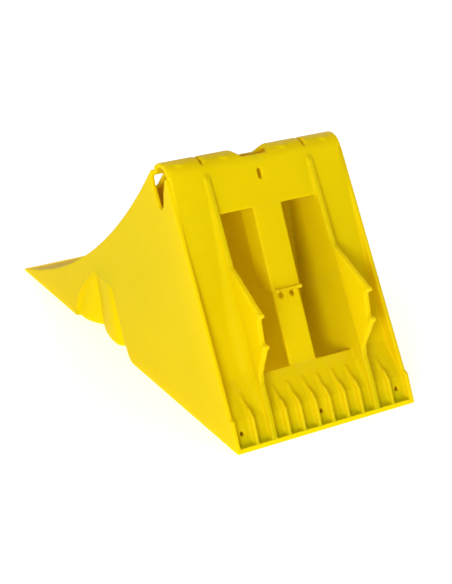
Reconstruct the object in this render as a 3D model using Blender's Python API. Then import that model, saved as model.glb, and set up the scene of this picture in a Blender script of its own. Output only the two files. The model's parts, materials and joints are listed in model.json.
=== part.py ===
"""Wheel chock for a truck or trailer: a hollow one-piece moulding, modelled wall by wall.

y runs forward from the heel to the tip, z is up, x is across. Units are metres.
The curved tread takes the tyre, the back panel with its two windows faces away from it.
"""

import math

import bmesh
import bpy
from mathutils import Vector

# Driving dimensions
LENGTH = 0.470
WIDTH = 0.202
WHEEL_RADIUS = 0.5687
CREST_RADIUS = 0.017
WALL = 0.004
GAP = 0.0003

# The wheel that the tread is shaped for: its centre is set by the tip and by this distance
TIP_THICKNESS = 0.0015
WHEEL_AHEAD = 0.167
WHEEL_Y = LENGTH + WHEEL_AHEAD
WHEEL_Z = TIP_THICKNESS + math.sqrt(WHEEL_RADIUS**2 - WHEEL_AHEAD**2)
TREAD_STEPS = 36

# Slopes of the rear, measured from the ground
REAR_ANGLE = math.radians(57.7)  # rails of the guide walls, rear edges of the side walls
BACK_ANGLE = math.radians(62.2)  # back panel, which sinks between the side walls
HEEL_ANGLE = math.radians(63.0)  # rear face of the heel
BACK_CROSSING = 0.243  # how far up that slope the back panel crosses it
REAR_EDGE = -0.0005  # the side walls' rear edges, out from that slope

# Stations up the back panel
WINDOW_TOP = 0.220
WINDOW_BOTTOM = 0.066
LATCH_STATION = 0.1385
CORD_HOLE_STATION = 0.2508
CORD_HOLE_RADIUS = 0.0026
CORD_HOLE_LENGTH = 0.0112

# Places across the chock
INNER_FACE = WIDTH / 2 - WALL
BAY_END = INNER_FACE - GAP
GUIDE_MIDDLE = 0.0587
GUIDE_THICKNESS = 0.005
GUIDE_INSIDE = GUIDE_MIDDLE - GUIDE_THICKNESS / 2
GUIDE_OUTSIDE = GUIDE_MIDDLE + GUIDE_THICKNESS / 2

# Fins of the guide walls
RAIL_HEIGHT = 0.003
FIN_THICKNESS = 0.0048
FIN_FOOT = RAIL_HEIGHT + GAP
FIN_LEAN = 0.07

# Heel
LIP_HEIGHT = 0.0035
LIP_DEPTH = 0.050
ABOVE_LIP = LIP_HEIGHT + GAP
POCKET_DEPTH = 0.0065
HEEL_TOP = 0.030
POCKET_TOP = 0.0285
RIB_THICKNESS = 0.0028
RIB_PLACES = (0.0079, 0.0253, 0.0419, 0.0774)
HEEL_HOLE_RADIUS = 0.0025
HEEL_HOLE_PLACE = 0.0885
HEEL_HOLE_UP = 0.017

# Cross web behind the windows
WEB_FOOT = 0.113
WEB_TOP = 0.200

# Crest
CREST_END = WIDTH / 2 - 0.0022
CREST_SLIT = 0.0045
CREST_SLIT_DEPTH = 0.0046
CREST_NOTCH_BOTTOM = 0.0145
CREST_NOTCH_FLARE = 1.0
CREST_NOTCH_TURN = math.radians(128)  # where its floor leaves the round of the crest
CREST_NOTCH_TILT = math.radians(17)  # how steeply the floor falls towards the tread

# Centre bar
BAR_HALF_WIDTH = 0.0158
BAR_LOWER_HALF_WIDTH = 0.0142
BAR_DEPTH = 0.026
BAR_STEP = 0.0015
FLANGE_THICKNESS = 0.0035
LATCH_HALF_WIDTH = 0.0125
LATCH_THICKNESS = 0.0022
LATCH_RISE = 0.004
LATCH_HOLE_PLACE = 0.0062
LATCH_HOLE_RADIUS = 0.00325
LATCH_HOLE_DROP = 0.0058
NUB_RADIUS = 0.0022
NUB_OVERHANG = 0.0008

# Side recess: a hollow with two round lobes between sharp valleys, fading upwards.
# Each line of it runs from a place on the ground to a place at the recess's top.
RECESS_TOP = 0.070
RECESS_START = (0.203, 0.248)
FIRST_VALLEY = (0.2435, 0.2620)
SECOND_VALLEY = (0.2985, 0.2985)
RECESS_END = (0.334, 0.289)
RECESS_END_RISE = 0.14
FIRST_DEPTH = 0.0135
SECOND_DEPTH = 0.0160
LOBE_HEIGHT = 0.0080
FRONT_DEPTH = (0.0040, 0.0100)
RECESS_COLUMNS = (7, 12, 9, 1)
RECESS_ROWS = 12

# Mould draft: the whole shell narrows upwards
SHELL_DRAFT = 0.10

YELLOW = (0.86, 0.73, 0.005, 1.0)
ROUGHNESS = 0.38

UP_FROM_HEEL = {
    "rear": (math.cos(REAR_ANGLE), math.sin(REAR_ANGLE)),
    "back": (math.cos(BACK_ANGLE), math.sin(BACK_ANGLE)),
    "heel": (math.cos(HEEL_ANGLE), math.sin(HEEL_ANGLE)),
}


def along(direction, start, distance, out=0.0):
    """The point (y, z) at a distance up a sloping face, and out from it towards the rear."""
    dy, dz = UP_FROM_HEEL[direction]
    return (start[0] + distance * dy - out * dz, start[1] + distance * dz + out * dy)


def on_rear(up, out=0.0):
    return along("rear", (0.0, 0.0), up, out)


def on_back(up, out=0.0):
    return along("back", on_rear(BACK_CROSSING), up - BACK_CROSSING, out)


def on_heel(up, out=0.0):
    return along("heel", (0.0, 0.0), up, out)


def on_heel_at(height, out=0.0):
    """The point of the heel's face, or of a face parallel to it, at a height above the ground."""
    dy, dz = UP_FROM_HEEL["heel"]
    return on_heel((height - out * dy) / dz, out)


def tread_y(height, inset=0.0):
    """Where the tread, or a surface parallel to it inside the shell, is at a height."""
    radius = WHEEL_RADIUS + inset
    return WHEEL_Y - math.sqrt(radius**2 - (WHEEL_Z - height) ** 2)


def tread_z(y, inset=0.0):
    radius = WHEEL_RADIUS + inset
    return WHEEL_Z - math.sqrt(radius**2 - (WHEEL_Y - y) ** 2)


def tread_path(top, bottom, inset=0.0):
    """Points down the tread from one y to another."""
    radius = WHEEL_RADIUS + inset
    first = math.acos((WHEEL_Y - top) / radius)
    last = math.acos((WHEEL_Y - bottom) / radius)
    steps = max(2, round(TREAD_STEPS * abs(last - first) / 0.65))
    turns = [first + (last - first) * i / steps for i in range(steps + 1)]
    return [(WHEEL_Y - radius * math.cos(a), WHEEL_Z - radius * math.sin(a)) for a in turns]


def crest_centre():
    """Centre of the round crest, which touches both the back panel and the tread."""
    start = Vector(on_back(BACK_CROSSING, -CREST_RADIUS))
    direction = Vector(UP_FROM_HEEL["back"])
    to_wheel = start - Vector((WHEEL_Y, WHEEL_Z))
    b = to_wheel.dot(direction)
    c = to_wheel.length_squared - (WHEEL_RADIUS + CREST_RADIUS) ** 2
    return start + direction * (-b - math.sqrt(b * b - c))


CREST = crest_centre()
CREST_START = BACK_CROSSING + (CREST - Vector(on_back(BACK_CROSSING))).dot(
    Vector(UP_FROM_HEEL["back"])
)
TO_WHEEL = (Vector((WHEEL_Y, WHEEL_Z)) - CREST).normalized()
TREAD_TOP = tuple(CREST + TO_WHEEL * CREST_RADIUS)


def crest_path(radius, from_turn, to_turn, steps=12):
    turns = [from_turn + (to_turn - from_turn) * i / steps for i in range(steps + 1)]
    return [(CREST.x + radius * math.cos(a), CREST.y + radius * math.sin(a)) for a in turns]


# Scene and collections


def clear_scene():
    for obj in list(bpy.data.objects):
        bpy.data.objects.remove(obj)


def new_collection(name):
    collection = bpy.data.collections.new(name)
    bpy.context.scene.collection.children.link(collection)
    return collection


def moulded_plastic():
    material = bpy.data.materials.new("yellow_plastic")
    material.use_nodes = True
    shader = material.node_tree.nodes["Principled BSDF"]
    shader.inputs["Base Color"].default_value = YELLOW
    shader.inputs["Roughness"].default_value = ROUGHNESS
    shader.inputs["Metallic"].default_value = 0.0
    return material


def as_mesh(obj):
    """Replaces a curve object by the mesh it makes, with its caps welded."""
    bpy.context.view_layer.update()
    evaluated = obj.evaluated_get(bpy.context.evaluated_depsgraph_get())
    mesh = bpy.data.meshes.new_from_object(evaluated)
    bm = bmesh.new()
    bm.from_mesh(mesh)
    bmesh.ops.remove_doubles(bm, verts=bm.verts, dist=1e-6)
    bmesh.ops.recalc_face_normals(bm, faces=bm.faces)
    bm.to_mesh(mesh)
    bm.free()
    made = bpy.data.objects.new(obj.name, mesh)
    made.matrix_world = obj.matrix_world
    name = obj.name
    bpy.data.objects.remove(obj)
    made.name = name
    return made


def plate(name, outline, low, high, collection):
    """A flat piece with an outline in y and z, from x = low to x = high."""
    curve = bpy.data.curves.new(name, "CURVE")
    curve.dimensions = "2D"
    curve.fill_mode = "BOTH"
    curve.extrude = (high - low) / 2
    spline = curve.splines.new("POLY")
    spline.points.add(len(outline) - 1)
    for point, (y, z) in zip(spline.points, outline):
        point.co = (y, z, 0.0, 1.0)
    spline.use_cyclic_u = True
    obj = bpy.data.objects.new(name, curve)
    obj.rotation_euler = (math.pi / 2, 0.0, math.pi / 2)
    obj.location.x = (low + high) / 2
    bpy.context.scene.collection.objects.link(obj)
    made = as_mesh(obj)
    collection.objects.link(made)
    return made


def rod(name, radius, length, place, rotation, collection):
    bm = bmesh.new()
    bmesh.ops.create_cone(
        bm, cap_ends=True, segments=16, radius1=radius, radius2=radius, depth=length
    )
    mesh = bpy.data.meshes.new(name)
    bm.to_mesh(mesh)
    bm.free()
    obj = bpy.data.objects.new(name, mesh)
    obj.location = place
    obj.rotation_euler = rotation
    collection.objects.link(obj)
    return obj


def boolean(obj, other, operation):
    modifier = obj.modifiers.new(operation.lower(), "BOOLEAN")
    modifier.object = other
    modifier.operation = operation
    modifier.solver = "EXACT"


# Pieces


def side_wall_outline():
    slot = [
        on_back(CREST_START - GAP, REAR_EDGE - 0.0022),
        on_back(CREST_START - GAP, -0.0053),
        (0.1440, 0.2110),
        (0.1449, 0.2050),
        (0.1441, 0.1945),
        (0.1450, 0.1905),
        (0.1478, 0.1883),
        (0.1508, 0.1880),
        (0.1539, 0.1895),
        (0.1593, 0.1970),
        (0.1662, 0.2068),
        (0.1694, 0.2145),
        (0.1683, 0.2192),
    ]
    corner = tread_y(0.2208)
    rows = [i / RECESS_ROWS for i in range(RECESS_ROWS + 1)]
    front = [(recess_edge(1, v, GAP), v * RECESS_TOP) for v in rows]
    back = [(recess_edge(0, v, GAP), v * RECESS_TOP) for v in reversed(rows)]
    top = RECESS_TOP + GAP
    recess = front + [(front[-1][0], top), (back[0][0], top)] + back
    return (
        [(0.0, 0.0), on_heel(HEEL_TOP), on_rear(0.0335, REAR_EDGE)]
        + slot
        + tread_path(corner, LENGTH)
        + [(LENGTH, 0.0)]
        + recess
    )


def between(ends, share):
    return ends[0] + (ends[1] - ends[0]) * share


def recess_edge(side, v, margin=0.0):
    """The recess's rear edge (side 0) or front edge (side 1) at a share v of its height."""
    if side == 0:
        return between(RECESS_START, v**0.8) - margin
    rise = max(0.0, (v - RECESS_END_RISE) / (1 - RECESS_END_RISE))
    return between(RECESS_END, rise**1.5) + margin


def recess_point(part, t, v):
    """Where the recess is at a height share v: its y, and how far it is pushed in there.

    Part 0 turns in from the side wall, parts 1 and 2 are the lobes and part 3 is the step
    back out to the wall; t runs from 0 to 1 along each.
    """
    front = recess_edge(1, v)
    step = front - 0.0012
    second = min(between(SECOND_VALLEY, v), step - 0.0012)
    lines = (recess_edge(0, v), between(FIRST_VALLEY, v), second, step, front)
    fade = (1 - v) ** 0.45
    front_depth = between(FRONT_DEPTH, v)
    if part == 0:
        depth = FIRST_DEPTH * t**1.4
    elif part == 1:
        bulge = t**0.35 * (1 - t) ** 0.8 / 0.4933
        depth = between((FIRST_DEPTH, SECOND_DEPTH), t) - LOBE_HEIGHT * bulge
    elif part == 2:
        depth = SECOND_DEPTH - (SECOND_DEPTH - front_depth) * (1 - (1 - t) ** 2.5)
    else:
        depth = front_depth * (1 - t)
    return lines[part] + (lines[part + 1] - lines[part]) * t, depth * fade


def recess_stations():
    """The grid's columns as (part, t), closer together beside the two valleys."""
    stations = [(0, 0.0)]
    for part, count in enumerate(RECESS_COLUMNS):
        for i in range(1, count + 1):
            t = i / count
            if part == 1:
                t = (1 - math.cos(math.pi * t)) / 2
            elif part == 2:
                t = 1 - math.cos(math.pi * t / 2)
            stations.append((part, t))
    return stations


def recess_panel(name, side, collection):
    """The pushed-in part of a side wall: a grid shaped by recess_point, thickened inwards."""
    stations = recess_stations()
    columns = len(stations) - 1
    bm = bmesh.new()
    bmesh.ops.create_grid(bm, x_segments=columns, y_segments=RECESS_ROWS, size=0.5)
    for vertex in bm.verts:
        part, t = stations[round((vertex.co.x + 0.5) * columns)]
        v = vertex.co.y + 0.5
        y, depth = recess_point(part, t, v)
        vertex.co = (side * (WIDTH / 2 - depth), y, v * RECESS_TOP)
    outer = list(bm.faces)
    grown = bmesh.ops.extrude_face_region(bm, geom=outer, use_keep_orig=True)
    inner = [item for item in grown["geom"] if isinstance(item, bmesh.types.BMVert)]
    bmesh.ops.translate(bm, verts=inner, vec=(-side * WALL, 0.0, 0.0))
    bmesh.ops.recalc_face_normals(bm, faces=bm.faces)
    mesh = bpy.data.meshes.new(name)
    bm.to_mesh(mesh)
    bm.free()
    obj = bpy.data.objects.new(name, mesh)
    collection.objects.link(obj)
    return obj


def panel_outline(top, height=WALL):
    """The back panel's section from a station up the back down to the heel's lip."""
    bend = on_back(WINDOW_BOTTOM)
    knee = on_heel(POCKET_TOP, -POCKET_DEPTH)
    slope = Vector(bend) - Vector(knee)
    normal = Vector((slope.y, -slope.x)).normalized() * height
    return [
        on_back(top),
        bend,
        knee,
        on_heel_at(ABOVE_LIP, -POCKET_DEPTH),
        on_heel_at(ABOVE_LIP, -POCKET_DEPTH - height),
        on_heel(POCKET_TOP - 0.0006, -POCKET_DEPTH - height),
        tuple(Vector(bend) + normal + slope.normalized() * 0.0006),
        on_back(top, -height),
    ]


def lower_panel_outline():
    """The part of the back panel below the windows."""
    whole = panel_outline(WINDOW_BOTTOM)
    return whole[1:-1]


def guide_wall_outline():
    rail = [on_rear(0.0350, RAIL_HEIGHT), on_rear(0.2530, RAIL_HEIGHT), on_rear(0.2600, 0.0010)]
    under_tread = tread_path(tread_y(0.200, WALL + GAP), 0.445, WALL + GAP)
    return (
        [on_heel_at(ABOVE_LIP), on_heel(HEEL_TOP)]
        + rail
        + [on_back(CREST_START - GAP), on_back(CREST_START - GAP, -0.008)]
        + under_tread
        + [(0.445, 0.0), (LIP_DEPTH + GAP, 0.0), (LIP_DEPTH + GAP, ABOVE_LIP)]
    )


def fin_outline():
    """A fin that stands on a guide wall's rail, with its two horns' flanks."""
    return [
        on_rear(0.0590, FIN_FOOT),
        on_rear(0.0665, 0.0060),
        on_rear(0.0870, 0.0300),
        on_rear(0.0935, 0.0265),
        on_rear(0.1125, 0.0310),
        on_rear(0.1180, 0.0370),
        on_rear(0.1680, FIN_FOOT),
    ]


def heel_rib_outline():
    """A buttress that rises from the sloping panel and ends flush with the heel's face."""
    bend = Vector(on_back(WINDOW_BOTTOM))
    knee = Vector(on_heel(POCKET_TOP, -POCKET_DEPTH))
    slope = (bend - knee).normalized()
    out = Vector((-slope.y, slope.x))
    root = knee + out * GAP
    tip = root + slope * 0.0240
    return [
        on_heel_at(ABOVE_LIP),
        on_heel(HEEL_TOP - 0.0010),
        tuple(knee + slope * 0.0065 + out * 0.0055),
        tuple(knee + slope * 0.0110 + out * 0.0033),
        tuple(knee + slope * 0.0170 + out * 0.0016),
        tuple(tip + out * 0.0003),
        tuple(tip),
        tuple(root),
        on_heel_at(ABOVE_LIP, -POCKET_DEPTH + GAP),
    ]


def heel_hole(name, x, cutters):
    tilt = (HEEL_ANGLE, 0.0, 0.0)
    return rod(name, HEEL_HOLE_RADIUS, 0.04, (x, *on_heel(HEEL_HOLE_UP)), tilt, cutters)


def latch_hole(x, cutters):
    place = (x, *on_back(LATCH_STATION - LATCH_HOLE_DROP))
    return rod("latch_hole", LATCH_HOLE_RADIUS, 0.04, place, (BACK_ANGLE, 0.0, 0.0), cutters)


def cord_hole(cutters):
    """The cutter for the oblong hole, drawn flat and then laid on the back's slope."""
    straight = CORD_HOLE_LENGTH / 2 - CORD_HOLE_RADIUS
    turns = [math.pi * i / 8 for i in range(9)]
    upper = [(CORD_HOLE_RADIUS * math.cos(a), CORD_HOLE_RADIUS * math.sin(a)) for a in turns]
    outline = [(x, y + straight) for x, y in upper] + [(-x, -y - straight) for x, y in upper]
    cutter = plate("cord_hole", outline, -0.01, 0.01, cutters)
    cutter.rotation_euler = (BACK_ANGLE, 0.0, 0.0)
    cutter.location = (0.0, *on_back(CORD_HOLE_STATION))
    return cutter


def sides(parts):
    outline = side_wall_outline()
    plate("left_side_wall", outline, -WIDTH / 2, -INNER_FACE, parts)
    plate("right_side_wall", outline, INNER_FACE, WIDTH / 2, parts)
    recess_panel("left_side_recess", -1, parts)
    recess_panel("right_side_recess", 1, parts)


def tread(parts, cutters, notch):
    outer = tread_path(TREAD_TOP[0], LENGTH)
    inner = tread_path(tread_y(0.0, WALL), TREAD_TOP[0] - WALL * TO_WHEEL.x, WALL)
    panel = plate("tread_panel", outer + [(LENGTH, 0.0)] + inner, -BAY_END, BAY_END, parts)
    boolean(panel, notch, "DIFFERENCE")
    for side in (-1, 1):
        outline = [(0.150, 0.1955), (0.205, 0.1955), (0.205, 0.2155), (0.150, 0.2155)]
        low, high = sorted((side * 0.084, side * 0.110))
        boolean(panel, plate("tread_corner", outline, low, high, cutters), "DIFFERENCE")


def crest_notch(cutters):
    """The cutter for the V notch in the middle of the crest, which falls towards the tread."""
    depth = 0.02
    wide = CREST_NOTCH_BOTTOM + CREST_NOTCH_FLARE * depth
    outline = [
        (-wide, depth),
        (-CREST_NOTCH_BOTTOM, 0.0),
        (CREST_NOTCH_BOTTOM, 0.0),
        (wide, depth),
    ]
    cutter = plate("crest_notch", outline, -0.05, 0.05, cutters)
    cutter.rotation_euler = (math.pi / 2 - CREST_NOTCH_TILT, 0.0, 0.0)
    edge = crest_path(CREST_RADIUS, CREST_NOTCH_TURN, CREST_NOTCH_TURN, 1)[0]
    cutter.location = (0.0, *edge)
    return cutter


def crest(parts, cutters, notch):
    rear_turn = BACK_ANGLE + math.pi / 2
    front_turn = math.atan2(TO_WHEEL.y, TO_WHEEL.x) + GAP / CREST_RADIUS
    outer = crest_path(CREST_RADIUS, rear_turn, front_turn, 16)
    outline = outer + crest_path(CREST_RADIUS - WALL, front_turn, rear_turn)
    floor = CREST.y + CREST_RADIUS - CREST_SLIT_DEPTH
    slit = [(0.12, floor), (0.19, floor), (0.19, 0.24), (0.12, 0.24)]
    for name, side in (("left", -1), ("right", 1)):
        low, high = sorted((side * GAP / 2, side * CREST_END))
        piece = plate(f"{name}_crest", outline, low, high, parts)
        boolean(piece, notch, "DIFFERENCE")
        middle = side * GUIDE_MIDDLE
        low, high = middle - CREST_SLIT / 2, middle + CREST_SLIT / 2
        boolean(piece, plate("crest_slit", slit, low, high, cutters), "DIFFERENCE")


def back_panel(parts, cutters):
    crossbar = plate(
        "upper_crossbar",
        [
            on_back(WINDOW_TOP),
            on_back(WINDOW_TOP, -WALL),
            on_back(CREST_START - GAP, -WALL),
            on_back(CREST_START - GAP),
        ],
        -GUIDE_INSIDE + GAP,
        GUIDE_INSIDE - GAP,
        parts,
    )
    boolean(crossbar, cord_hole(cutters), "DIFFERENCE")
    lower = plate(
        "lower_back_panel", lower_panel_outline(), -GUIDE_INSIDE + GAP, GUIDE_INSIDE - GAP, parts
    )
    boolean(lower, heel_hole("heel_hole_centre", 0.0, cutters), "DIFFERENCE")
    strip = panel_outline(CREST_START - GAP)
    for name, side in (("left", -1), ("right", 1)):
        low, high = sorted((side * (GUIDE_OUTSIDE + GAP), side * BAY_END))
        panel = plate(f"{name}_back_strip", strip, low, high, parts)
        hole = heel_hole(f"heel_hole_{name}", side * HEEL_HOLE_PLACE, cutters)
        boolean(panel, hole, "DIFFERENCE")


def guide_walls(parts, cutters):
    outline = guide_wall_outline()
    length = FIN_THICKNESS + 2 * NUB_OVERHANG
    for name, side in (("left", -1), ("right", 1)):
        low, high = sorted((side * GUIDE_INSIDE, side * GUIDE_OUTSIDE))
        plate(f"{name}_guide_wall", outline, low, high, parts)
        middle = side * GUIDE_MIDDLE
        low, high = middle - FIN_THICKNESS / 2, middle + FIN_THICKNESS / 2
        fin = plate(f"{name}_guide_fin", fin_outline(), low, high, parts)
        for place in (on_rear(0.1165, 0.0360), on_rear(0.0880, 0.0290)):
            where = (middle, *place)
            nub = rod("fin_nub", NUB_RADIUS, length, where, (0.0, math.pi / 2, 0.0), cutters)
            boolean(fin, nub, "UNION")


def centre_bar(parts, cutters):
    top = WINDOW_TOP - GAP
    face = [
        on_back(LATCH_STATION),
        on_back(LATCH_STATION, -WALL),
        on_back(top, -WALL),
        on_back(top),
    ]
    plate("centre_bar_face", face, -BAR_HALF_WIDTH, BAR_HALF_WIDTH, parts)
    flange = [
        on_back(LATCH_STATION, -WALL - GAP),
        on_back(LATCH_STATION + 0.006, -BAR_DEPTH),
        on_back(WINDOW_TOP + 0.002, -BAR_DEPTH),
        on_back(WINDOW_TOP + 0.002, -WALL - GAP),
    ]
    for name, side in (("left", -1), ("right", 1)):
        inside = side * (BAR_HALF_WIDTH - FLANGE_THICKNESS)
        low, high = sorted((inside, side * BAR_HALF_WIDTH))
        plate(f"centre_bar_{name}_flange", flange, low, high, parts)
    bottom = WINDOW_BOTTOM + GAP
    end = LATCH_STATION - GAP
    strip = [
        on_back(bottom),
        on_back(bottom, -WALL),
        on_back(end, -BAR_STEP - WALL),
        on_back(end, -BAR_STEP),
    ]
    lower = plate("centre_bar_lower", strip, -BAR_LOWER_HALF_WIDTH, BAR_LOWER_HALF_WIDTH, parts)
    for side in (-1, 1):
        boolean(lower, latch_hole(side * LATCH_HOLE_PLACE, cutters), "DIFFERENCE")


def latch_lip(parts, cutters):
    low, high = LATCH_STATION - LATCH_THICKNESS, LATCH_STATION
    foot = -BAR_STEP + GAP
    outline = [
        on_back(low, foot),
        on_back(high - GAP, foot),
        on_back(high - GAP, GAP),
        on_back(high, GAP),
        on_back(high, LATCH_RISE),
        on_back(low, LATCH_RISE),
    ]
    lip = plate("latch_lip", outline, -LATCH_HALF_WIDTH, LATCH_HALF_WIDTH, parts)
    middle = on_back((low + high) / 2, LATCH_RISE)
    for side in (-1, 1):
        where = (side * (LATCH_HALF_WIDTH + 0.0006), *middle)
        nub = rod("latch_nub", NUB_RADIUS * 0.9, 0.004, where, (0.0, math.pi / 2, 0.0), cutters)
        boolean(lip, nub, "UNION")


def heel(parts):
    lip = [(0.0, 0.0), on_heel_at(LIP_HEIGHT), (LIP_DEPTH, LIP_HEIGHT), (LIP_DEPTH, 0.0)]
    plate("heel_lip", lip, -BAY_END, BAY_END, parts)
    outline = heel_rib_outline()
    places = sorted(side * place for side in (-1, 1) for place in RIB_PLACES)
    for number, place in enumerate(places, 1):
        low, high = place - RIB_THICKNESS / 2, place + RIB_THICKNESS / 2
        plate(f"heel_rib_{number}", outline, low, high, parts)


def under_ribs(parts):
    """Cross ribs under the tread, in three bays, and a cross web behind the windows."""
    bays = {
        "left": (-BAY_END, -GUIDE_OUTSIDE - GAP),
        "centre": (-GUIDE_INSIDE + GAP, GUIDE_INSIDE - GAP),
        "right": (GUIDE_OUTSIDE + GAP, BAY_END),
    }
    under = WALL + GAP
    for row, y in (("front", 0.395), ("middle", 0.345)):
        end = y + 0.003
        outline = [(y, 0.0), (end, 0.0), (end, tread_z(end, under)), (y, tread_z(y, under))]
        for bay, (low, high) in bays.items():
            plate(f"{row}_rib_{bay}", outline, low, high, parts)
    top = tread_y(WEB_TOP, under)
    web = [(WEB_FOOT, 0.0), (WEB_FOOT + 0.003, 0.0), (top, WEB_TOP), (top - 0.003, WEB_TOP)]
    plate("centre_cross_web", web, *bays["centre"], parts)


# Draft


def drafted(point):
    """Where the mould's draft takes a point of the undrafted shape."""
    dy, dz = UP_FROM_HEEL["rear"]
    out = max(0.0, point.z * dy - point.y * dz - FIN_FOOT)
    lean = FIN_LEAN * out * (1 if point.x > 0 else -1)
    if abs(abs(point.x) - GUIDE_MIDDLE) > GUIDE_THICKNESS:
        lean = 0.0
    return Vector(((point.x + lean) * (1 - SHELL_DRAFT * point.z), point.y, point.z))


def finish(parts, cutters, material):
    """Applies the cuts and the draft, and hangs every piece on the chock's origin."""
    bpy.context.view_layer.update()
    graph = bpy.context.evaluated_depsgraph_get()
    finished = {}
    for obj in parts.objects:
        evaluated = obj.evaluated_get(graph)
        mesh = bpy.data.meshes.new_from_object(evaluated)
        mesh.transform(obj.matrix_world)
        for vertex in mesh.vertices:
            vertex.co = drafted(vertex.co)
        finished[obj] = mesh
    origin = bpy.data.objects.new("chock_origin", None)
    origin.location = (0.0, -LENGTH / 2, 0.0)
    parts.objects.link(origin)
    for obj, mesh in finished.items():
        obj.modifiers.clear()
        obj.data = mesh
        obj.location = (0.0, 0.0, 0.0)
        obj.rotation_euler = (0.0, 0.0, 0.0)
        obj.parent = origin
        mesh.materials.clear()
        mesh.materials.append(material)
        mesh.shade_smooth()
        mesh.set_sharp_from_angle(angle=math.radians(30))
    for cutter in cutters.objects:
        cutter.hide_render = True
        cutter.display_type = "WIRE"


def main():
    clear_scene()
    parts = new_collection("wheel_chock")
    cutters = new_collection("cutters")
    material = moulded_plastic()
    sides(parts)
    notch = crest_notch(cutters)
    tread(parts, cutters, notch)
    crest(parts, cutters, notch)
    back_panel(parts, cutters)
    guide_walls(parts, cutters)
    centre_bar(parts, cutters)
    latch_lip(parts, cutters)
    heel(parts)
    under_ribs(parts)
    finish(parts, cutters, material)


main()
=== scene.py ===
"""Looks of the wheel chock: one seamless moulded skin around the CAD pieces, cut back into them.

Everything is in metres in the CAD's frame: the heel is at -y, the tip at +y, and z is up.
"""

import json
import math

import bmesh
import bpy
import numpy as np
from mathutils import Matrix, Vector

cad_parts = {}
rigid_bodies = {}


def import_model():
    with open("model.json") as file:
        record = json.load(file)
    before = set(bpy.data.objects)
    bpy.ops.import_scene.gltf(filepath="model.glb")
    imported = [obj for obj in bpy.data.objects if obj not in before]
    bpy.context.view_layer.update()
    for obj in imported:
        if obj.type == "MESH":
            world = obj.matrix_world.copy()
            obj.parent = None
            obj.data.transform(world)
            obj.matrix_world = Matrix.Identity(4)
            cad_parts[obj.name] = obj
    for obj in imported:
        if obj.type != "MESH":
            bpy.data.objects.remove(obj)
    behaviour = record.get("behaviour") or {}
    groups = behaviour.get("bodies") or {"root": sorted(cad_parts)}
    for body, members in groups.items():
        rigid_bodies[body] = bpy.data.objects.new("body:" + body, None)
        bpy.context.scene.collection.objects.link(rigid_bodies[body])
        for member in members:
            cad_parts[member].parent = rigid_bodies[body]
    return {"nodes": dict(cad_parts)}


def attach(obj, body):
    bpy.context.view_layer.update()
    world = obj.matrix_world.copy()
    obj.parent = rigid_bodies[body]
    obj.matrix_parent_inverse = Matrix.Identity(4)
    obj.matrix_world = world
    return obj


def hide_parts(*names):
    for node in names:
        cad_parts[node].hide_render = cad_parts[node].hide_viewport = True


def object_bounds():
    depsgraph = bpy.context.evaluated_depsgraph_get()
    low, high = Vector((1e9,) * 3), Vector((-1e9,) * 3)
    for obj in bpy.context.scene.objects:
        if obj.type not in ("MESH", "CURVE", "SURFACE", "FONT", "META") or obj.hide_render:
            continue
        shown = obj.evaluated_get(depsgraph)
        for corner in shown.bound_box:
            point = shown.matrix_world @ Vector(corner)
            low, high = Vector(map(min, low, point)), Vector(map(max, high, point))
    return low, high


for startup_object in list(bpy.data.objects):
    bpy.data.objects.remove(startup_object)
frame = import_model()
CAD_LOW, CAD_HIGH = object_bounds()

# Driving dimensions, as the CAD has them
LENGTH = CAD_HIGH.y - CAD_LOW.y
HEEL_Y = CAD_LOW.y
WIDTH = CAD_HIGH.x - CAD_LOW.x
WALL = 0.004
GAP = 0.0003
SEAM = GAP / 2
SHELL_DRAFT = 0.10

REAR_ANGLE = math.radians(57.7)
BACK_ANGLE = math.radians(62.2)
HEEL_ANGLE = math.radians(63.0)
BACK_CROSSING = 0.243
WINDOW_TOP = 0.220
WINDOW_BOTTOM = 0.066
LATCH_STATION = 0.1385
LATCH_THICKNESS = 0.0022
BAR_STEP = 0.0015
BAR_HALF_WIDTH = 0.0158
FLANGE_THICKNESS = 0.0035

INNER_FACE = WIDTH / 2 - WALL
GUIDE_MIDDLE = 0.0587
GUIDE_HALF = 0.0025
RAIL_HEIGHT = 0.003

WHEEL_RADIUS = 0.5687
WHEEL_Y = HEEL_Y + LENGTH + 0.167
WHEEL_Z = 0.0015 + math.sqrt(WHEEL_RADIUS**2 - 0.167**2)
CREST_RADIUS = 0.017

LIP_HEIGHT = 0.0035
LIP_DEPTH = 0.050
POCKET_DEPTH = 0.0065
POCKET_TOP = 0.0285
RIB_THICKNESS = 0.0028
RIB_PLACES = (0.0079, 0.0253, 0.0419, 0.0774)

WEB_FOOT = 0.113
WEB_LEAN = 0.318
WEB_BAND = (-0.0015, 0.0045)  # around the web's rear face, as wide as its cut
RIB_ROWS = (("front", 0.385, 0.410), ("middle", 0.335, 0.360))

RECESS_TOP = 0.070
RECESS_START = (0.203, 0.248)
RECESS_END = (0.334, 0.289)
RECESS_END_RISE = 0.14
RECESS_REACH = 0.024

# Details that only the skin has
FILLET_SUNK = 0.0012  # how deep a fillet reaches into its wall and panel
LIP_FILLET = 0.0030
BUMP_SIZE = (0.0058, 0.0040, 0.0021)
BUMP_SUNK = 0.0004
BUMP_TURN = math.radians(110)
BUMP_PLACES = (0.0335, 0.083)
PAD_HEIGHT = 0.00035
PAD_SUNK = 0.0010
LABEL_PADS = ((-0.088, -0.073, 0.183, 0.240), (0.069, 0.094, 0.150, 0.246))
SHARP_ANGLE = math.radians(50)

TRANSLUCENCY = 0.45  # share of the light that goes through a face of the plastic
FLOOR_HALF_WIDTH = 25.0
CAMERA_PLACE = (-0.737834, -1.243567, 0.722079)
CAMERA_TURN = math.radians(-31.60)
CAMERA_TILT = math.radians(64.935)
CAMERA_ROLL = math.radians(1.143)
CAMERA_LENS = 93.73

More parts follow.
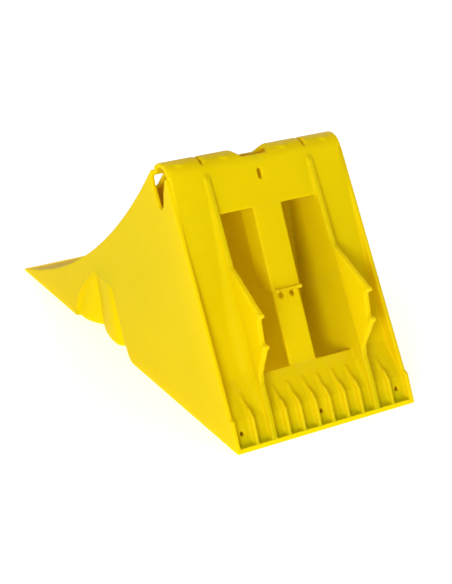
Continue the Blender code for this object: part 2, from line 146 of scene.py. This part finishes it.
# The skin
VOXEL = 0.0009
CLOSING = 0.0002  # how far each piece grows, so that the CAD's gaps close
SMOOTHING = 5
DETAIL_KEPT = 0.24
FAR = 0.6


# Lines of the chock, as (y, z)


def slope_point(start, angle, up, out=0.0):
    c, s = math.cos(angle), math.sin(angle)
    return Vector((start[0] + up * c - out * s, start[1] + up * s + out * c))


def on_rear(up, out=0.0):
    return slope_point((HEEL_Y, 0.0), REAR_ANGLE, up, out)


def on_back(up, out=0.0):
    return slope_point(on_rear(BACK_CROSSING), BACK_ANGLE, up - BACK_CROSSING, out)


def on_heel(up, out=0.0):
    return slope_point((HEEL_Y, 0.0), HEEL_ANGLE, up, out)


def on_heel_at(height, out=0.0):
    return on_heel((height - out * math.cos(HEEL_ANGLE)) / math.sin(HEEL_ANGLE), out)


def tread_at(y, inset=0.0):
    """The height of the tread, or of a surface parallel to it inside the shell."""
    return WHEEL_Z - math.sqrt((WHEEL_RADIUS + inset) ** 2 - (WHEEL_Y - y) ** 2)


def web_y(height):
    """The rear face of the cross web, which leans forward to meet the tread."""
    return HEEL_Y + WEB_FOOT + WEB_LEAN * height


def back_block(low, high, inside, outside):
    """A block between two stations up the back and two depths out of it."""
    corners = ((low, inside), (low, outside), (high, outside), (high, inside))
    return [on_back(up, out) for up, out in corners]


def crest_centre():
    start = on_back(BACK_CROSSING, -CREST_RADIUS)
    direction = Vector((math.cos(BACK_ANGLE), math.sin(BACK_ANGLE)))
    to_wheel = start - Vector((WHEEL_Y, WHEEL_Z))
    b = to_wheel.dot(direction)
    c = to_wheel.length_squared - (WHEEL_RADIUS + CREST_RADIUS) ** 2
    return start + direction * (-b - math.sqrt(b * b - c))


CREST = crest_centre()
TO_WHEEL = (Vector((WHEEL_Y, WHEEL_Z)) - CREST).normalized()
KNEE = on_heel(POCKET_TOP, -POCKET_DEPTH)
BEND = on_back(WINDOW_BOTTOM)
SLOPE = (BEND - KNEE).normalized()
SLOPE_OUT = Vector((-SLOPE.y, SLOPE.x))
HEEL_OUT = Vector((-math.sin(HEEL_ANGLE), math.cos(HEEL_ANGLE)))
BACK_OUT = Vector((-math.sin(BACK_ANGLE), math.cos(BACK_ANGLE)))


def drafted(points):
    """The mould's draft, which narrows the shell upwards."""
    points[:, 0] *= 1 - SHELL_DRAFT * points[:, 2]
    return points


# Meshes


def new_object(name, mesh):
    obj = bpy.data.objects.new(name, mesh)
    bpy.context.scene.collection.objects.link(obj)
    return obj


def from_bmesh(name, bm):
    bmesh.ops.recalc_face_normals(bm, faces=bm.faces)
    mesh = bpy.data.meshes.new(name)
    bm.to_mesh(mesh)
    bm.free()
    return new_object(name, mesh)


def evaluated_mesh(obj):
    bpy.context.view_layer.update()
    graph = bpy.context.evaluated_depsgraph_get()
    return bpy.data.meshes.new_from_object(obj.evaluated_get(graph))


def coordinates(mesh):
    points = np.empty(len(mesh.vertices) * 3)
    mesh.vertices.foreach_get("co", points)
    return points.reshape(-1, 3)


def set_coordinates(mesh, points):
    mesh.vertices.foreach_set("co", points.ravel())
    mesh.update()


def loft(name, rings):
    """A closed body through rings of points, with flat ends."""
    bm = bmesh.new()
    rows = [[bm.verts.new(point) for point in ring] for ring in rings]
    for near, far in zip(rows, rows[1:]):
        for i in range(len(near)):
            j = (i + 1) % len(near)
            bm.faces.new((near[i], near[j], far[j], far[i]))
    bm.faces.new(rows[0])
    bm.faces.new(list(reversed(rows[-1])))
    return from_bmesh(name, bm)


def prism(name, outline, low, high):
    """A body with an outline in y and z, from x = low to x = high."""
    rings = [[(x, *point) for point in outline] for x in (low, high)]
    obj = loft(name, rings)
    bm = bmesh.new()
    bm.from_mesh(obj.data)
    bmesh.ops.triangulate(bm, faces=bm.faces)
    bm.to_mesh(obj.data)
    bm.free()
    return obj


def boolean(mesh, other, operation):
    """The mesh that is left of one after a boolean with another."""
    obj = new_object("working", mesh)
    modifier = obj.modifiers.new(operation, "BOOLEAN")
    modifier.object = other
    modifier.operation = operation
    modifier.solver = "MANIFOLD"
    made = evaluated_mesh(obj)
    bpy.data.objects.remove(obj)
    return made


# Bodies that the skin has besides the CAD's


def grown_copy(node):
    """A CAD node without its draft, a little thicker all round."""
    mesh = node.data.copy()
    bm = bmesh.new()
    bm.from_mesh(mesh)
    for vertex in bm.verts:
        vertex.co.x /= 1 - SHELL_DRAFT * vertex.co.z
    bmesh.ops.remove_doubles(bm, verts=bm.verts, dist=1e-6)
    bm.normal_update()
    steps = [vertex.normal * CLOSING * vertex.calc_shell_factor() for vertex in bm.verts]
    for vertex, step in zip(bm.verts, steps):
        vertex.co += step
    bm.to_mesh(mesh)
    bm.free()
    return new_object("grown", mesh)


def fillet(side, wall, stops, inward=False):
    """Rounds the corner between a wall at x = wall and the panel beside it.

    Each stop is a point (y, z) on the panel, the direction out of it, and the radius there.
    """
    sunk = FILLET_SUNK
    across = -side if inward else side
    rings = []
    for point, out, radius in stops:
        turns = [math.radians(270 - 90 * i / 8) for i in range(9)]
        arc = [(radius * (1 + math.cos(a)), radius * (1 + math.sin(a))) for a in turns]
        profile = [(-sunk, -sunk), (radius, -sunk)] + arc + [(-sunk, radius)]
        ring = []
        for along, up in profile:
            y, z = point + out * up
            ring.append((side * wall + across * along, y, z))
        rings.append(ring)
    return loft("fillet", rings)


def back_stops(radii):
    return [(on_back(up), BACK_OUT, radius) for up, radius in radii]


def slope_stops(radii):
    return [(KNEE + SLOPE * up, SLOPE_OUT, radius) for up, radius in radii]


def lip_fillet():
    """Rounds the foot of the pockets, where the panel meets the heel's lip."""
    foot = on_heel_at(LIP_HEIGHT, -POCKET_DEPTH)
    up = slope_point((0.0, 0.0), HEEL_ANGLE, LIP_FILLET)
    out = Vector((-LIP_FILLET, 0.0))
    sunk = 0.3  # as a share of the radius
    outline = [foot - up * sunk - out * sunk, foot + out - up * sunk]
    for i in range(7):
        a = i / 6 * math.pi / 2
        outline.append(foot + out * (1 - math.sin(a)) + up * (1 - math.cos(a)))
    outline.append(foot + up - out * sunk)
    return prism("lip_fillet", outline, -INNER_FACE, INNER_FACE)


def crest_bump(x):
    """A low round boss on the crest."""
    bm = bmesh.new()
    bmesh.ops.create_uvsphere(bm, u_segments=24, v_segments=16, radius=1.0)
    out = Vector((0.0, math.cos(BUMP_TURN), math.sin(BUMP_TURN)))
    place = Vector((x, CREST.x, CREST.y)) + out * (CREST_RADIUS - BUMP_SUNK)
    shape = Matrix.Diagonal((*BUMP_SIZE, 1.0))
    turned = Matrix.Rotation(BUMP_TURN - math.pi / 2, 4, "X")
    bmesh.ops.transform(bm, matrix=Matrix.Translation(place) @ turned @ shape, verts=bm.verts)
    return from_bmesh("crest_bump", bm)


def label_pad(low, high, bottom, top):
    """A flat pad, a third of a millimetre proud of the back strip."""
    return prism("label_pad", back_block(bottom, top, -PAD_SUNK, PAD_HEIGHT), low, high)


def added_bodies():
    bodies = []
    outer = GUIDE_MIDDLE + GUIDE_HALF
    inner = GUIDE_MIDDLE - GUIDE_HALF
    low_slope = slope_stops([(0.001, 0.0040), (0.008, 0.0080), (0.018, 0.0110)])
    long_run = back_stops(
        [(0.070, 0.0125), (0.090, 0.0140), (0.120, 0.0135), (0.150, 0.0105)]
        + [(0.170, 0.0080), (0.200, 0.0052), (0.230, 0.0030), (0.252, 0.0012)]
    )
    upper = back_stops([(WINDOW_TOP + 0.001, 0.0030), (0.235, 0.0024), (0.252, 0.0010)])
    lower = slope_stops([(0.001, 0.0030), (0.010, 0.0050), (0.020, 0.0055), (0.0275, 0.0050)])
    pocket = slope_stops([(0.0, 0.0035), (0.006, 0.0035), (0.012, 0.0022), (0.020, 0.0010)])
    pocket.insert(0, (on_heel_at(LIP_HEIGHT - 0.001, -POCKET_DEPTH), HEEL_OUT, 0.0035))
    half_rib = RIB_THICKNESS / 2
    for place in RIB_PLACES:
        for side in (-1, 1):
            bodies.append(fillet(side, place + half_rib, pocket))
            bodies.append(fillet(side, place - half_rib, pocket, inward=True))
    bodies.append(lip_fillet())
    for side in (-1, 1):
        bodies.append(fillet(side, outer, low_slope + long_run))
        bodies.append(fillet(side, inner, upper, inward=True))
        bodies.append(fillet(side, inner, lower, inward=True))
        bodies += [crest_bump(side * x) for x in BUMP_PLACES]
    bodies += [label_pad(*pad) for pad in LABEL_PADS]
    return bodies


def moulded_skin():
    """The whole chock as one closed mesh with soft edges, before the draft."""
    bodies = [grown_copy(frame["nodes"][name]) for name in sorted(frame["nodes"])]
    bodies += added_bodies()
    mesh = bodies[0].data
    for body in bodies[1:]:
        mesh = boolean(mesh, body, "UNION")
    for body in bodies:
        bpy.data.objects.remove(body)
    obj = new_object("skin", mesh)
    remesh = obj.modifiers.new("remesh", "REMESH")
    remesh.mode = "VOXEL"
    remesh.voxel_size = VOXEL
    smooth = obj.modifiers.new("smooth", "SMOOTH")
    smooth.factor = 0.5
    smooth.iterations = SMOOTHING
    decimate = obj.modifiers.new("decimate", "DECIMATE")
    decimate.ratio = DETAIL_KEPT
    made = evaluated_mesh(obj)
    bpy.data.objects.remove(obj)
    return made


# Cutting the skin into the CAD's pieces


def everywhere():
    return [(-FAR, -FAR), (FAR, -FAR), (FAR, FAR), (-FAR, FAR)]


def band(near, far, y_from, y_to):
    """A rectangle between two heights and two places along the chock."""
    return [(y_from, near), (y_to, near), (y_to, far), (y_from, far)]


def crest_sector():
    rear = BACK_ANGLE + math.pi / 2
    front = math.atan2(TO_WHEEL.y, TO_WHEEL.x)
    turns = [rear + (front - rear) * i / 12 for i in range(13)]
    reach = CREST_RADIUS + 0.006
    arc = [CREST + Vector((math.cos(a), math.sin(a))) * reach for a in turns]
    return [CREST] + arc


def recess_outline():
    rows = [i / 12 for i in range(13)]

    def between(ends, share):
        return ends[0] + (ends[1] - ends[0]) * share

    def rise(v):
        return max(0.0, (v - RECESS_END_RISE) / (1 - RECESS_END_RISE)) ** 1.5

    front = [(HEEL_Y + between(RECESS_END, rise(v)) + SEAM, v * RECESS_TOP) for v in rows]
    back = [(HEEL_Y + between(RECESS_START, v**0.8) - SEAM, v * RECESS_TOP) for v in reversed(rows)]
    top = RECESS_TOP + SEAM
    low = -0.01
    over = [(front[-1][0], top), (back[0][0], top)]
    return [(front[0][0], low)] + front + over + back + [(back[-1][0], low)]


def tread_band():
    inset = WALL + SEAM
    start = CREST + TO_WHEEL * (CREST_RADIUS - WALL)
    first = start.x - 0.002
    last = HEEL_Y + LENGTH - 0.012
    steps = 40
    inner = [first + (last - first) * i / steps for i in range(steps + 1)]
    curve = [(y, tread_at(y, inset)) for y in inner]
    return [(first, FAR)] + curve + [(last + 0.001, -FAR), (FAR, -FAR), (FAR, FAR)]


def before_panel():
    """What stands in front of the lower panel, above the heel's lip."""
    foot = on_heel_at(LIP_HEIGHT + SEAM, -POCKET_DEPTH + SEAM)
    end = KNEE + SLOPE * 0.040
    return [foot, KNEE + SLOPE_OUT * SEAM, end + SLOPE_OUT * SEAM, (-FAR, end.y), (-FAR, foot.y)]


def fin_block():
    low, high = 0.050, 0.176
    foot = RAIL_HEIGHT + SEAM
    return [on_rear(low, foot), on_rear(low, 0.06), on_rear(high, 0.06), on_rear(high, foot)]


def mirrored(name, outline, near, far):
    """The same cut on the left and on the right."""
    return [
        (f"left_{name}", outline, -far, -near),
        (f"right_{name}", outline, near, far),
    ]


def cuts():
    """Each piece as its name, an outline and a range of x, in the order of cutting."""
    guide_in, guide_out = GUIDE_MIDDLE - GUIDE_HALF - SEAM, GUIDE_MIDDLE + GUIDE_HALF + SEAM
    shell = INNER_FACE - SEAM
    half_rib = RIB_THICKNESS / 2 + 0.0004
    bar_end = LATCH_STATION - LATCH_THICKNESS - 0.0005
    bar_top = WINDOW_TOP + 0.0022
    window_top = WINDOW_TOP - SEAM
    window_bottom = WINDOW_BOTTOM + SEAM
    flange_depth = -WALL - SEAM
    made = mirrored("crest", crest_sector(), 0.0, FAR)
    made += mirrored("side_recess", recess_outline(), WIDTH / 2 - RECESS_REACH, FAR)
    made += mirrored("side_wall", everywhere(), shell, FAR)
    made.append(("tread_panel", tread_band(), -FAR, FAR))
    latch = back_block(bar_end, LATCH_STATION + SEAM, -BAR_STEP + SEAM, 0.02)
    made.append(("latch_lip", latch, -0.02, 0.02))
    lip = [(-FAR, -FAR), (HEEL_Y + LIP_DEPTH + SEAM, -FAR)]
    lip += [(HEEL_Y + LIP_DEPTH + SEAM, LIP_HEIGHT + SEAM), (-FAR, LIP_HEIGHT + SEAM)]
    made.append(("heel_lip", lip, -FAR, FAR))
    places = sorted(side * place for side in (-1, 1) for place in RIB_PLACES)
    for number, place in enumerate(places, 1):
        made.append((f"heel_rib_{number}", before_panel(), place - half_rib, place + half_rib))
    made += mirrored("guide_fin", fin_block(), GUIDE_MIDDLE - 0.02, GUIDE_MIDDLE + 0.02)
    made += mirrored("guide_wall", everywhere(), guide_in, guide_out)
    bays = (("left", -FAR, -guide_out), ("centre", -guide_in, guide_in), ("right", guide_out, FAR))
    for row, low, high in RIB_ROWS:
        row_band = band(-FAR, FAR, HEEL_Y + low, HEEL_Y + high)
        made += [(f"{row}_rib_{bay}", row_band, near, far) for bay, near, far in bays]
    rear, front = WEB_BAND
    corners = ((rear, -0.01), (front, -0.01), (front, WINDOW_TOP), (rear, WINDOW_TOP))
    web = [(web_y(z) + aside, z) for aside, z in corners]
    made.append(("centre_cross_web", web, -guide_in, guide_in))
    made += mirrored("back_strip", everywhere(), guide_out, FAR)
    flange_in = BAR_HALF_WIDTH - FLANGE_THICKNESS - 0.001
    flange = back_block(bar_end, bar_top, -0.05, flange_depth)
    made.append(("centre_bar_left_flange", flange, -BAR_HALF_WIDTH - 0.001, -flange_in))
    made.append(("centre_bar_right_flange", flange, flange_in, BAR_HALF_WIDTH + 0.001))
    bars = (
        ("upper_crossbar", window_top),
        ("centre_bar_face", LATCH_STATION - SEAM),
        ("centre_bar_lower", window_bottom),
    )
    for name, foot in bars:
        made.append((name, back_block(foot, FAR, -0.05, 0.05), -guide_in, guide_in))
    made.append(("lower_back_panel", everywhere(), -FAR, FAR))
    return made


def finished_piece(name, mesh, material):
    points = drafted(coordinates(mesh))
    set_coordinates(mesh, np.clip(points, CAD_LOW, CAD_HIGH))
    mesh.materials.clear()
    mesh.materials.append(material)
    mesh.shade_smooth()
    mesh.set_sharp_from_angle(angle=SHARP_ANGLE)
    obj = new_object(f"moulded_{name}", mesh)
    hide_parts(name)
    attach(obj, "root")
    return obj


def cut_pieces(skin, material):
    rest = skin
    for name, outline, low, high in cuts():
        cutter = prism("cutter", outline, low, high)
        piece = boolean(rest.copy(), cutter, "INTERSECT")
        rest = boolean(rest, cutter, "DIFFERENCE")
        bpy.data.objects.remove(cutter)
        finished_piece(name, piece, material)


# Material


def moulded_plastic():
    """Yellow polyethylene, with a faint mottle, a fine moulded grain and paler convex edges, a
    painted highlight along the edges.
    """
    material = bpy.data.materials.new("yellow_polyethylene")
    material.use_nodes = True
    nodes, links = material.node_tree.nodes, material.node_tree.links
    shader = nodes["Principled BSDF"]
    shader.inputs["Metallic"].default_value = 0.0
    shader.inputs["IOR"].default_value = 1.5
    shader.inputs["Specular IOR Level"].default_value = 0.08
    shader.inputs["Specular Tint"].default_value = (1.0, 0.90, 0.30, 1.0)

    def noise(scale, detail, roughness=0.5):
        node = nodes.new("ShaderNodeTexNoise")
        node.inputs["Scale"].default_value = scale
        node.inputs["Detail"].default_value = detail
        node.inputs["Roughness"].default_value = roughness
        links.new(place.outputs["Object"], node.inputs["Vector"])
        return node

    def ramp(low, high, low_colour, high_colour):
        node = nodes.new("ShaderNodeValToRGB")
        first, last = node.color_ramp.elements
        first.position, last.position = low, high
        first.color, last.color = (*low_colour, 1.0), (*high_colour, 1.0)
        return node

    place = nodes.new("ShaderNodeTexCoord")
    mottle = noise(14.0, 5.0, 0.55)
    body = ramp(0.30, 0.72, (0.925, 0.800, 0.001), (0.950, 0.830, 0.003))
    links.new(mottle.outputs["Fac"], body.inputs["Fac"])

    geometry = nodes.new("ShaderNodeNewGeometry")
    # Paler, less saturated yellow on convex edges, found by pointiness: a painted highlight along
    # the edges.
    edges = ramp(0.515, 0.60, (0.0, 0.0, 0.0), (0.35, 0.35, 0.35))
    links.new(geometry.outputs["Pointiness"], edges.inputs["Fac"])
    painted_edge_highlight = nodes.new("ShaderNodeMix")
    painted_edge_highlight.data_type = "RGBA"
    painted_edge_highlight.inputs["B"].default_value = (0.94, 0.87, 0.06, 1.0)
    links.new(edges.outputs["Color"], painted_edge_highlight.inputs["Factor"])
    links.new(body.outputs["Color"], painted_edge_highlight.inputs["A"])
    links.new(painted_edge_highlight.outputs["Result"], shader.inputs["Base Color"])

    scuffs = noise(60.0, 8.0, 0.7)
    gloss = nodes.new("ShaderNodeMapRange")
    gloss.inputs["From Min"].default_value = 0.30
    gloss.inputs["From Max"].default_value = 0.75
    gloss.inputs["To Min"].default_value = 0.36
    gloss.inputs["To Max"].default_value = 0.50
    links.new(scuffs.outputs["Fac"], gloss.inputs["Value"])
    links.new(gloss.outputs["Result"], shader.inputs["Roughness"])

    grain = noise(1500.0, 3.0, 0.6)
    waves = noise(22.0, 2.0, 0.4)
    fine = nodes.new("ShaderNodeBump")
    fine.inputs["Strength"].default_value = 0.10
    fine.inputs["Distance"].default_value = 0.0002
    links.new(grain.outputs["Fac"], fine.inputs["Height"])
    broad = nodes.new("ShaderNodeBump")
    broad.inputs["Strength"].default_value = 0.12
    broad.inputs["Distance"].default_value = 0.002
    links.new(waves.outputs["Fac"], broad.inputs["Height"])
    links.new(fine.outputs["Normal"], broad.inputs["Normal"])
    links.new(broad.outputs["Normal"], shader.inputs["Normal"])

    through = nodes.new("ShaderNodeBsdfTranslucent")
    through.inputs["Color"].default_value = (1.0, 0.76, 0.003, 1.0)
    both = nodes.new("ShaderNodeMixShader")
    both.inputs["Fac"].default_value = TRANSLUCENCY
    links.new(shader.outputs["BSDF"], both.inputs[1])
    links.new(through.outputs["BSDF"], both.inputs[2])
    links.new(both.outputs["Shader"], nodes["Material Output"].inputs["Surface"])
    return material


# Stage


def floor():
    bm = bmesh.new()
    bmesh.ops.create_grid(bm, x_segments=1, y_segments=1, size=FLOOR_HALF_WIDTH)
    obj = from_bmesh("floor", bm)
    material = bpy.data.materials.new("pale_floor")
    material.use_nodes = True
    shader = material.node_tree.nodes["Principled BSDF"]
    shader.inputs["Base Color"].default_value = (0.93, 0.93, 0.93, 1.0)
    shader.inputs["Roughness"].default_value = 0.9
    shader.inputs["Specular IOR Level"].default_value = 0.0
    shader.inputs["Emission Color"].default_value = (1.0, 1.0, 1.0, 1.0)
    shader.inputs["Emission Strength"].default_value = 0.48
    obj.data.materials.append(material)


def soft_light(name, place, size, power, target=(0.0, 0.0, 0.1)):
    data = bpy.data.lights.new(name, "AREA")
    data.shape = "DISK"
    data.size = size
    data.energy = power
    obj = bpy.data.objects.new(name, data)
    obj.location = place
    obj.rotation_euler = (Vector(target) - Vector(place)).to_track_quat("-Z", "Y").to_euler()
    bpy.context.scene.collection.objects.link(obj)


def studio():
    scene = bpy.context.scene
    scene.view_settings.view_transform = "Standard"
    world = bpy.data.worlds.new("studio")
    scene.world = world
    world.use_nodes = True
    background = world.node_tree.nodes["Background"]
    background.inputs["Color"].default_value = (1.0, 1.0, 1.0, 1.0)
    background.inputs["Strength"].default_value = 0.52
    soft_light("key", (-2.1, -2.2, 0.7), 1.2, 62.0)
    soft_light("fill", (1.8, 2.2, 1.6), 1.6, 14.0)


def camera():
    data = bpy.data.cameras.new("camera")
    data.lens = CAMERA_LENS
    data.sensor_width = 36.0
    data.clip_start = 0.01
    obj = bpy.data.objects.new("camera", data)
    obj.location = CAMERA_PLACE
    spin = Matrix.Rotation(CAMERA_TURN, 4, "Z") @ Matrix.Rotation(CAMERA_TILT, 4, "X")
    obj.rotation_euler = (spin @ Matrix.Rotation(CAMERA_ROLL, 4, "Z")).to_euler()
    bpy.context.scene.collection.objects.link(obj)
    bpy.context.scene.camera = obj


cut_pieces(moulded_skin(), moulded_plastic())
floor()
studio()
camera()
